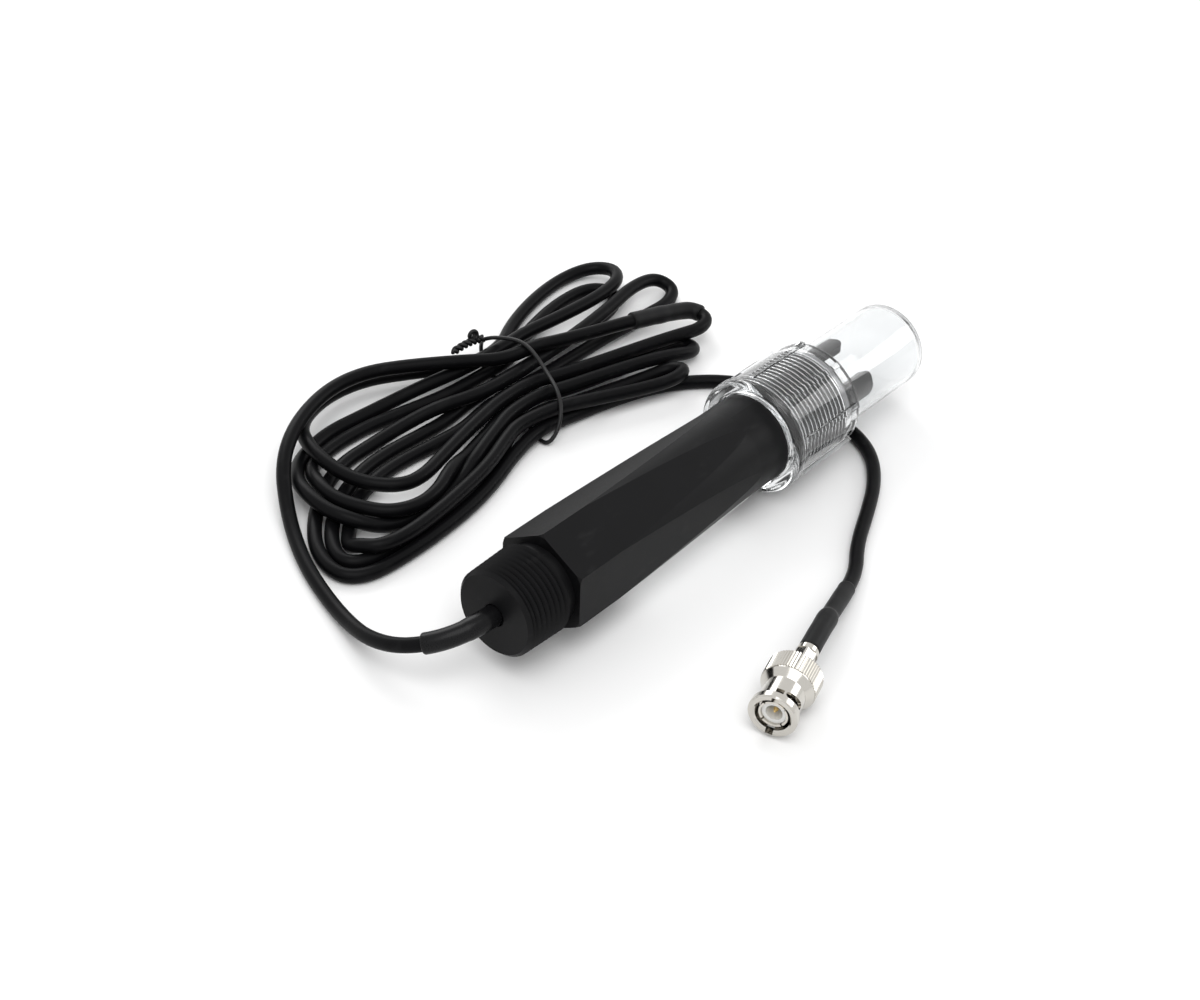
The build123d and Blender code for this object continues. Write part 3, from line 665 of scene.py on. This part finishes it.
    def tail(self) -> list[Point]:
        """Give the points from the hank, under the cap's bottle, to the plug, as in the part's source."""
        rest = self.rest
        return [
            (-8, 57, 3.5), (6, 55, 2.8), (20, 52.6, rest), (34, 48.6, rest), (46.5, 42.3, rest),
            (56.8, 33, rest), (63, 20.5, rest), (65.2, 6.5, rest), (64.6, -8, rest),
            (58.8, -19.8, rest), (48, -28.4, rest), (35, -34.8, rest), (20, -41.4, rest),
            (9.03, -48.75, rest), (-6.79, -53.44, 4.6), (-22.13, -57.98, 7.82), (-36.03, -62.1, 7.82),
        ]

    def points(self) -> list[Point]:
        """Give every control point of the cable, from the body to the plug."""
        return [*self.lead(), *self.crossing(), *self.turns(), *self.tail()]

    def curve(self, name: str, bevel: float) -> bpy.types.Object:
        """Make the cable's one smooth spline.

        Args:
            name: the piece's name.
            bevel: half the thickness in millimetres, or zero for the bare line.

        Returns:
            The new curve object.
        """
        data = bpy.data.curves.new(name, "CURVE")
        data.dimensions = "3D"
        data.resolution_u = self.smoothness
        data.bevel_depth = bevel * MILLIMETRE
        data.bevel_resolution = self.roundness
        data.use_fill_caps = True
        points = np.array(self.points()) * MILLIMETRE
        spline = data.splines.new("NURBS")
        spline.points.add(len(points) - 1)
        spline.points.foreach_set("co", np.column_stack([points, np.ones(len(points))]).ravel())
        spline.order_u = 3
        spline.use_endpoint_u = True
        piece = bpy.data.objects.new(name, data)
        bpy.context.scene.collection.objects.link(piece)
        return piece

    def line(self) -> np.ndarray:
        """Read the bare spline's own line, as rows of x, y, z in millimetres."""
        bare = self.curve("cable_line", 0.0)
        bpy.context.view_layer.update()
        mesh = bpy.data.meshes.new_from_object(bare.evaluated_get(bpy.context.evaluated_depsgraph_get()))
        read = np.empty(len(mesh.vertices) * 3)
        mesh.vertices.foreach_get("co", read)
        bpy.data.objects.remove(bare)
        bpy.data.meshes.remove(mesh)
        return read.reshape(-1, 3) / MILLIMETRE


def stretch_near(
    line: np.ndarray, start: Point, end: Point, step: float, fewest: int = 6
) -> np.ndarray:
    """Cut out the stretch of a line between the places nearest to two points.

    The stretch is the line's own points between the two places, spaced evenly by length.

    Args:
        line: rows of x, y, z in millimetres.
        start: a point near the stretch's start.
        end: a point near its end.
        step: distance between the points that are given back.
        fewest: smallest number of points.

    Returns:
        Rows of x, y, z, in the line's order.
    """
    first = int(np.argmin(np.linalg.norm(line - np.array(start), axis=1)))
    last = int(np.argmin(np.linalg.norm(line - np.array(end), axis=1)))
    part = line[min(first, last) : max(first, last) + 1]
    along = np.concatenate([[0.0], np.cumsum(np.linalg.norm(np.diff(part, axis=0), axis=1))])
    places = np.linspace(0.0, along[-1], max(int(along[-1] / step), fewest))
    return np.column_stack([np.interp(places, along, part[:, axis]) for axis in range(3)])


@dataclass
class Sleeve:
    """One sleeve or boot that the cable runs through, following the cable's own line."""

    name: str
    node: str
    slot: str
    start: Point
    end: Point
    start_radius: float
    end_radius: float
    ripple: float
    shoulder: float = 0.5
    steepness: float = 45.0
    waves: Pair = (19.0, 31.0)
    wave_lead: float = 1.0
    step: float = 0.25
    sides: int = 40

    def build(self, line: np.ndarray, finishes: Finishes) -> bpy.types.Object:
        """Make the sleeve and dress it.

        Its radius stays near the first end's up to the shoulder, given as a share of its length, and
        goes over to the other end's there along 0.5 + 0.5 tanh. Slow waves of the ripple's height run
        along it, as shrunk film has, and both rims are rounded.

        Args:
            line: the cable's line, rows in millimetres.
            finishes: the materials.

        Returns:
            The new piece.
        """
        path = stretch_near(line, self.start, self.end, self.step)
        share = np.linspace(0.0, 1.0, len(path))
        to_first, to_last = np.linalg.norm(path[[0, -1]] - np.array(self.start), axis=1)
        if to_first > to_last:
            share = share[::-1]
        shrunk = 0.5 + 0.5 * np.tanh((share - self.shoulder) * self.steepness)
        body = self.start_radius + (self.end_radius - self.start_radius) * shrunk
        slow, quick = self.waves
        body = body + self.ripple * (np.sin(share * slow) + np.sin(share * quick + self.wave_lead))
        radii = rounded_ends(body, self.step)
        piece = tube_piece(self.name, path, radii, self.sides)
        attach(piece, Body.ELECTRODE.value)
        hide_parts(self.node)
        finishes.dress(piece, self.slot)
        return piece


def sleeves() -> list[Sleeve]:
    """List the boot at the body, the sleeve behind the plug and the sleeve on the hank."""
    return [
        Sleeve(
            "cable_boot_moulding", "cable_boot", "boot_plastic",
            (-89.3, 0.0, 18.1), (-110.1, 8.7, 13.5), 3.1, 2.95, 0.0,
        ),
        Sleeve(
            "tail_sleeve_film", "tail_sleeve", "sleeve_plastic",
            (-32.7, -61.1, 7.8), (1.1, -51.1, 3.4), 3.0, 2.55, 0.02,
        ),
        Sleeve(
            "lead_sleeve_film", "lead_sleeve", "sleeve_plastic",
            (49.0, 68.9, 10.2), (72.4, 58.9, 7.0), 2.85, 2.8, 0.03,
        ),
    ]


@dataclass
class TwistTie:
    """Thin plastic-covered wire round the hank, with its ends twisted together and curled."""

    wire: float = 0.65
    across: Point = (0.9026, -0.4305, 0.0)
    loop_steps: int = 12
    twist_radius: float = 0.68
    twist_turns: float = 3.5
    twist_start: Point = (8.6, 95.7, 8.6)
    twist_end: Point = (-3.6, 97.4, 8.2)
    twist_rise: float = 0.9
    twist_side: Point = (0.14, 0.99, 0.0)
    twist_steps: int = 90
    curl_centre: Point = (4.6, 96.2, 11.2)
    curl_radius: float = 1.25
    curl_across: Point = (0.96, -0.1, 0.25)
    curl_up: Point = (-0.1, 0.25, 0.96)
    curl_lean: Point = (0.0, 1.3, 0.0)
    curl_steps: int = 60
    sides: int = 14

    def loop(self) -> np.ndarray:
        """Give the line of the loop round the hank, from the twist over the top and back under."""
        corners = [
            (8.4, 95.6, 8.3), (9.2, 93.4, 9.8), (10.2, 89.8, 11.2), (11, 85.2, 12.6), (11, 80.6, 13.2),
            (9.6, 75.6, 12.9), (7.8, 70.6, 11.8), (5.4, 65.4, 11.3), (2.4, 60, 11.4), (-1, 55, 9.9),
            (-4.2, 52.4, 6.6), (-7, 51.6, 3.2), (-9.6, 52.2, 0.9), (-9.4, 56, 0.68), (-5.6, 64, 0.68),
            (-1, 75, 0.68), (4, 86, 0.68), (7.6, 93.6, 0.7), (9.6, 97, 1.2), (10.2, 98, 3.6),
            (9.6, 97.2, 6.4), (8.4, 95.9, 8),
        ]
        return smooth_through(np.array(corners), self.loop_steps)

    def twist(self, phase: float) -> np.ndarray:
        """Give the line of one of the two twisted ends.

        It winds round a middle line that rises a little half way: middle + radius (up cos a + side
        sin a), where a goes through the twist's turns from the phase.

        Args:
            phase: angle at which this end starts, in radians.

        Returns:
            Rows of x, y, z along the wire.
        """
        share = np.linspace(0.0, 1.0, self.twist_steps)[:, None]
        start = np.array(self.twist_start)
        end = np.array(self.twist_end)
        side = np.array(self.twist_side)
        up = np.array(UP)
        angle = phase + share * self.twist_turns * 2.0 * np.pi
        middle = start + (end - start) * share + up * self.twist_rise * np.sin(share * np.pi)
        return middle + self.twist_radius * (up * np.cos(angle) + side * np.sin(angle))

    def curl(self) -> np.ndarray:
        """Give the line of the end that is curled over into a small eye.

        It is one and a quarter turns of a circle that rises from the twist and leans to one side.
        """
        angle = np.linspace(-0.5 * np.pi, 2.0 * np.pi, self.curl_steps)[:, None]
        across = np.array(self.curl_across)
        up = np.array(self.curl_up)
        lean = np.array(self.curl_lean) * np.linspace(0.0, 1.0, self.curl_steps)[:, None]
        circle = self.curl_radius * (across * np.cos(angle) + up * np.sin(angle))
        return np.array(self.curl_centre) + circle + lean

    def build(self, finishes: Finishes) -> list[bpy.types.Object]:
        """Make the loop, the two twisted ends and the curl, and dress them.

        Args:
            finishes: the materials.

        Returns:
            The new pieces.
        """
        lines = {
            "tie_loop": (self.loop(), self.across),
            "tie_twist_a": (self.twist(0.0), UP),
            "tie_twist_b": (self.twist(np.pi), UP),
            "tie_curl": (self.curl(), (0.0, 1.0, 0.0)),
        }
        pieces = []
        for name, (line, across) in lines.items():
            step = float(np.linalg.norm(np.diff(line, axis=0), axis=1).mean())
            radii = rounded_ends(np.full(len(line), self.wire), step)
            piece = tube_piece(name, line, radii, self.sides, across)
            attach(piece, Body.ELECTRODE.value)
            finishes.dress(piece, "tie_plastic")
            pieces.append(piece)
        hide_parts("twist_tie")
        return pieces


# The clear cap


def arc(middle: Pair, radius: float, start: float, end: float, count: int = 9) -> list[list[float]]:
    """Give points on an arc in the plane of station and radius.

    A point at angle a is middle + radius (cos a, sin a).

    Args:
        middle: station and radius of the arc's middle.
        radius: the arc's own radius.
        start: first angle in degrees.
        end: last angle in degrees.
        count: number of points.

    Returns:
        Pairs of station and radius.
    """
    angle = np.radians(np.linspace(start, end, count))
    points = np.array(middle) + radius * np.column_stack([np.cos(angle), np.sin(angle)])
    return points.tolist()


@dataclass
class StorageCap:
    """Clear screw cap: rolled flange, ribbed collar with a thread inside, and a closed bottle.

    Stations run along the electrode from its cable end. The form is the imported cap's, with the
    thread cut outwards into the collar's wall.
    """

    rear: float = -92.3
    height: float = 18.1
    mouth: float = 111.2
    flange_end: float = 115.8
    flange_radius: float = 18.1
    flange_round: float = 1.7
    flange_bead: float = 0.8
    collar_radius: float = 17.3
    collar_end_radius: float = 16.9
    collar_end: float = 143.8
    collar_round: float = 1.2
    bottle_radius: float = 13.5
    bottle_round: float = 3.0
    top: float = 184.6
    bottle_wall: float = 1.3
    floor: float = 2.4
    mouth_bore: float = 14.1265
    mouth_depth: float = 1.9
    bore_start: Pair = (115.0, 13.7669)
    bore_end: Pair = (141.4, 12.9419)
    pitch: float = 1.814
    thread_depth: float = 1.0
    thread_end: float = 139.2
    thread_gap: float = 0.2
    tooth_start: float = 0.12
    tooth_span: float = 0.76
    rows_per_turn: int = 14
    rib_count: int = 8
    rib_width: float = 1.7
    rib_top: float = 18.0
    rib_turn: float = 25.0
    rib_margin: float = 0.6
    rib_inset: float = 1.0
    rib_steps: int = 12
    sector_steps: int = 24
    side_margin: float = 12.0
    floor_margin: float = 6.0
    runout_margin: float = 4.0
    runout_steps: int = 4
    side_steps: int = 6
    foot_steps: int = 7
    edge: float = 0.06
    sharp_angle: float = 40.0

    def outside(self) -> list[Point]:
        """Give the outer side's points, from the bottle's end to the mouth, ribs marked by a one."""
        foot = self.bottle_radius - self.bottle_round
        collar_top = self.collar_end - self.collar_round
        corner = (self.top - self.bottle_round, foot)
        plain = [(self.top, 0.0), (self.top, foot / 2), *arc(corner, self.bottle_round, 0, 90)]
        side = np.linspace(self.top - self.side_margin, self.collar_end, self.side_steps)
        plain += [(station, self.bottle_radius) for station in side]
        shoulder = (collar_top, self.collar_end_radius - self.collar_round)
        plain += arc(shoulder, self.collar_round, 0, 90)
        rows = [(*point, 0.0) for point in plain]
        low = self.flange_end + self.rib_margin
        high = collar_top - self.rib_margin
        slope = (self.collar_radius - self.collar_end_radius) / (self.flange_end - collar_top)
        ribbed = np.linspace(high - self.rib_inset, low + self.rib_inset, self.rib_steps)
        for station in [high + self.edge, high, *ribbed, low, low - self.edge]:
            radius = self.collar_end_radius + (station - collar_top) * slope
            rows.append((station, radius, float(low <= station <= high)))
        bead = (self.flange_end - self.flange_bead, self.collar_radius)
        rolled = (self.mouth + self.flange_round, self.flange_radius - self.flange_round)
        rim = [*arc(bead, self.flange_bead, 0, 90), *arc(rolled, self.flange_round, 90, 180)]
        return rows + [(*point, 0.0) for point in rim]

    def bore_radius(self, station: np.ndarray) -> np.ndarray:
        """Give the plain bore's radius at each station: a straight line between its named ends."""
        ends = ((self.mouth + self.mouth_depth, self.mouth_bore), self.bore_start, self.bore_end)
        return np.interp(station, *zip(*ends))

    def inside(self) -> np.ndarray:
        """Give the inner side's stations and radii, from the mouth to the bottle's floor."""
        start = self.mouth + self.mouth_depth
        count = int((self.thread_end - start) / self.pitch * self.rows_per_turn)
        threaded = np.linspace(start, self.thread_end, count)
        runout = np.linspace(self.thread_end + self.thread_gap, self.bore_end[0], self.runout_steps)
        station = np.concatenate([threaded, runout])
        bore = np.column_stack([station, self.bore_radius(station)])
        inner = self.bottle_radius - self.bottle_wall
        turn = self.bottle_round / 2
        foot = self.top - self.floor
        side = np.linspace(self.bore_end[0] + self.runout_margin, foot - self.floor_margin, self.side_steps)
        wall = [(place, inner) for place in [self.bore_end[0], *side]]
        turned = arc((foot - turn, inner - turn), turn, 90, 0, self.foot_steps)
        rows = [[(self.mouth, self.mouth_bore)], bore, wall, turned, [(foot, inner / 2), (foot, 0.0)]]
        return np.vstack(rows)

    def sector(self) -> tuple[np.ndarray, np.ndarray]:
        """Give the angles of one rib and the wall after it in degrees, and a one for each on the rib."""
        half = np.degrees(np.arcsin(self.rib_width / 2 / self.rib_top))
        edge = np.degrees(self.edge / self.rib_top)
        wall = np.linspace(half + edge, 360.0 / self.rib_count - half - edge, self.sector_steps)
        angles = np.concatenate([[-half - edge, -half, 0.0, half], wall[:-1]])
        return angles, (np.abs(angles) <= half).astype(float)

    def tooth(self, station: np.ndarray, angle: np.ndarray) -> np.ndarray:
        """Give the share of the thread's depth at each station and angle.

        It is a smooth step of a triangle wave of (station / pitch - angle / one turn), which fades in
        and out over one pitch.

        Args:
            station: one station for each row.
            angle: one angle for each column, in radians.

        Returns:
            A row for each station, with a share for each angle.
        """
        begin = self.mouth + self.mouth_depth
        rising = np.clip((station - begin) / self.pitch, 0, 1)
        falling = np.clip((self.thread_end - station) / self.pitch, 0, 1)
        turns = np.mod(station[:, None] / self.pitch - angle / (2.0 * np.pi), 1.0)
        wave = 1.0 - np.abs(2.0 * turns - 1.0)
        ramp = np.clip((wave - self.tooth_start) / self.tooth_span, 0.0, 1.0)
        return ramp * ramp * (3.0 - 2.0 * ramp) * (rising * falling)[:, None]

    def build(self, finishes: Finishes) -> bpy.types.Object:
        """Make the cap as one closed turned surface and dress it.

        Row i and angle a give radius(i) + rib(i, a) (rib top - radius(i)) + depth * tooth(i, a), where
        the tooth is left out of the outer side and of what lies beyond the thread.

        Args:
            finishes: the materials.

        Returns:
            The new piece.
        """
        sector, marked = self.sector()
        first = self.rib_turn + np.arange(self.rib_count)[:, None] * 360.0 / self.rib_count
        angle = np.radians((first + sector).ravel())
        on_rib = np.tile(marked, self.rib_count)
        outer = np.array(self.outside())
        inner = self.inside()
        station = np.concatenate([outer[:, 0], inner[:, 0]])
        radius = np.concatenate([outer[:, 1], inner[:, 1]])[:, None]
        rib = np.concatenate([outer[:, 2], np.zeros(len(inner))])[:, None] * on_rib
        threaded = (inner[:, 1] < self.mouth_bore) & (inner[:, 0] < self.thread_end)
        cut = self.thread_depth * np.concatenate([np.zeros(len(outer)), threaded])[:, None]
        reach = radius + rib * (self.rib_top - radius) + cut * self.tooth(station, angle)
        points = np.stack(
            [
                np.broadcast_to(self.rear + station[:, None], reach.shape),
                reach * np.cos(angle),
                self.height + reach * np.sin(angle),
            ],
            axis=-1,
        )
        faces = ring_faces(len(station), len(angle))
        piece = new_mesh_object("threaded_cap", points.reshape(-1, 3), faces)
        merge_and_face_out(piece)
        piece.data.set_sharp_from_angle(angle=np.radians(self.sharp_angle))
        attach(piece, Body.CAP.value)
        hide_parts("storage_cap")
        finishes.dress(piece, "clear_plastic")
        return piece


# Camera, floor and light


def placed(place: Point, turn: np.ndarray) -> Matrix:
    """Give the matrix of an object at a place in millimetres, its axes as the columns of turn."""
    return Matrix.Translation(np.array(place) * MILLIMETRE) @ Matrix(turn.tolist()).to_4x4()


@dataclass(frozen=True)
class Lamp:
    """One square lamp that faces the origin, its place and side in millimetres and its power in watts."""

    name: str
    place: Point
    side: float
    power: float

    def hang(self) -> None:
        """Hang the lamp in the scene."""
        data = bpy.data.lights.new(self.name, "AREA")
        data.shape = "SQUARE"
        data.size = self.side * MILLIMETRE
        data.energy = self.power
        lamp = bpy.data.objects.new(self.name, data)
        bpy.context.scene.collection.objects.link(lamp)
        away = np.array(self.place) / np.linalg.norm(self.place)
        level = np.cross(UP, away)
        level /= np.linalg.norm(level)
        lamp.matrix_world = placed(self.place, np.column_stack([level, np.cross(away, level), away]))


@dataclass
class Studio:
    """Camera at the photograph's view, a pale floor and soft light."""

    place: Point = (-424.63, -269.89, 405.75)
    right: Point = (0.64360, -0.75949, 0.09462)
    up: Point = (0.43371, 0.46377, 0.77253)
    forward: Point = (0.63061, 0.45616, -0.62789)
    lens: float = 66.05
    sensor: float = 36.0
    far: float = 20.0
    sky_low: float = 0.10
    sky_high: float = 0.86
    sky_start: float = 0.16
    sky_full: float = 0.62
    floor_half: float = 3000.0
    floor_colour: tuple[float, ...] = (0.93, 0.93, 0.93, 1.0)
    floor_roughness: float = 0.9
    floor_specular: float = 0.1
    lamps: tuple[Lamp, ...] = (
        Lamp("key_lamp", (-350.0, -250.0, 900.0), 700.0, 4.0),
        Lamp("rim_lamp", (250.0, 650.0, 500.0), 500.0, 2.4),
        Lamp("side_lamp", (650.0, -350.0, 350.0), 300.0, 0.8),
    )

    def camera(self) -> None:
        """Place the camera and make it the scene's own."""
        data = bpy.data.cameras.new("view")
        data.lens = self.lens
        data.sensor_width = self.sensor
        data.sensor_fit = "HORIZONTAL"
        data.clip_end = self.far
        eye = bpy.data.objects.new("view", data)
        bpy.context.scene.collection.objects.link(eye)
        turn = np.column_stack([self.right, self.up, -np.array(self.forward)])
        eye.matrix_world = placed(self.place, turn)
        bpy.context.scene.camera = eye

    def floor(self) -> None:
        """Lay a white floor that keeps the object's shadow."""
        half = self.floor_half
        corners = np.array([[-half, -half, 0.0], [half, -half, 0.0], [half, half, 0.0], [-half, half, 0.0]])
        floor = new_mesh_object("floor", corners, np.array([[0, 1, 2, 3]]))
        material = bpy.data.materials.new("floor_white")
        material.use_nodes = True
        shader = material.node_tree.nodes["Principled BSDF"]
        set_inputs(shader, {"Base Color": self.floor_colour, "Roughness": self.floor_roughness})
        set_inputs(shader, {"Specular IOR Level": self.floor_specular})
        floor.data.materials.append(material)

    def light(self) -> None:
        """Light the scene from a sky that dims towards the horizon, and three soft lamps.

        The camera, metal and glass see the sky as plain white.
        """
        world = bpy.data.worlds.new("sky")
        world.use_nodes = True
        background = world.node_tree.nodes["Background"]
        background.inputs["Color"].default_value = (1.0, 1.0, 1.0, 1.0)
        tree = world.node_tree
        place = tree.nodes.new("ShaderNodeTexCoord")
        parts = tree.nodes.new("ShaderNodeSeparateXYZ")
        rise = tree.nodes.new("ShaderNodeMapRange")
        set_inputs(rise, {"From Min": self.sky_start, "From Max": self.sky_full})
        set_inputs(rise, {"To Min": self.sky_low, "To Max": self.sky_high})
        tree.links.new(place.outputs["Generated"], parts.inputs["Vector"])
        tree.links.new(parts.outputs["Z"], rise.inputs["Value"])
        seen = tree.nodes.new("ShaderNodeLightPath")
        rays = [seen.outputs[name] for name in ("Is Camera Ray", "Is Glossy Ray", "Is Transmission Ray")]
        shown = math_node(tree, "MAXIMUM", math_node(tree, "MAXIMUM", *rays[:2]), rays[2])
        choose = tree.nodes.new("ShaderNodeMix")
        choose.inputs["B"].default_value = 1.0
        tree.links.new(shown, choose.inputs["Factor"])
        tree.links.new(rise.outputs["Result"], choose.inputs["A"])
        tree.links.new(choose.outputs["Result"], background.inputs["Strength"])
        bpy.context.scene.world = world
        for lamp in self.lamps:
            lamp.hang()


def main() -> None:
    """Build and dress every piece in order."""
    logging.basicConfig(level=logging.INFO, format="%(name)s: %(message)s")
    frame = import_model()
    bpy.context.scene.view_settings.view_transform = "Standard"
    studio = Studio()
    studio.camera()
    studio.floor()
    studio.light()
    finishes = Finishes()
    finishes.dress_nodes(frame)
    run = CableRun()
    cable = run.curve("cable", run.diameter / 2)
    finishes.dress(cable, "cable_jacket")
    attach(cable, Body.ELECTRODE.value)
    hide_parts("lead_cable", "tail_cable", "cable_hank")
    line = run.line()
    LOG.info("cable length %.0f mm", np.linalg.norm(np.diff(line, axis=0), axis=1).sum())
    on_cable = [sleeve.build(line, finishes) for sleeve in sleeves()]
    on_cable += TwistTie().build(finishes)
    cap = StorageCap().build(finishes)
    for piece in [cap, *on_cable]:
        LOG.info("made %s, %d faces", piece.name, len(piece.data.polygons))


if __name__ == "__main__":
    main()
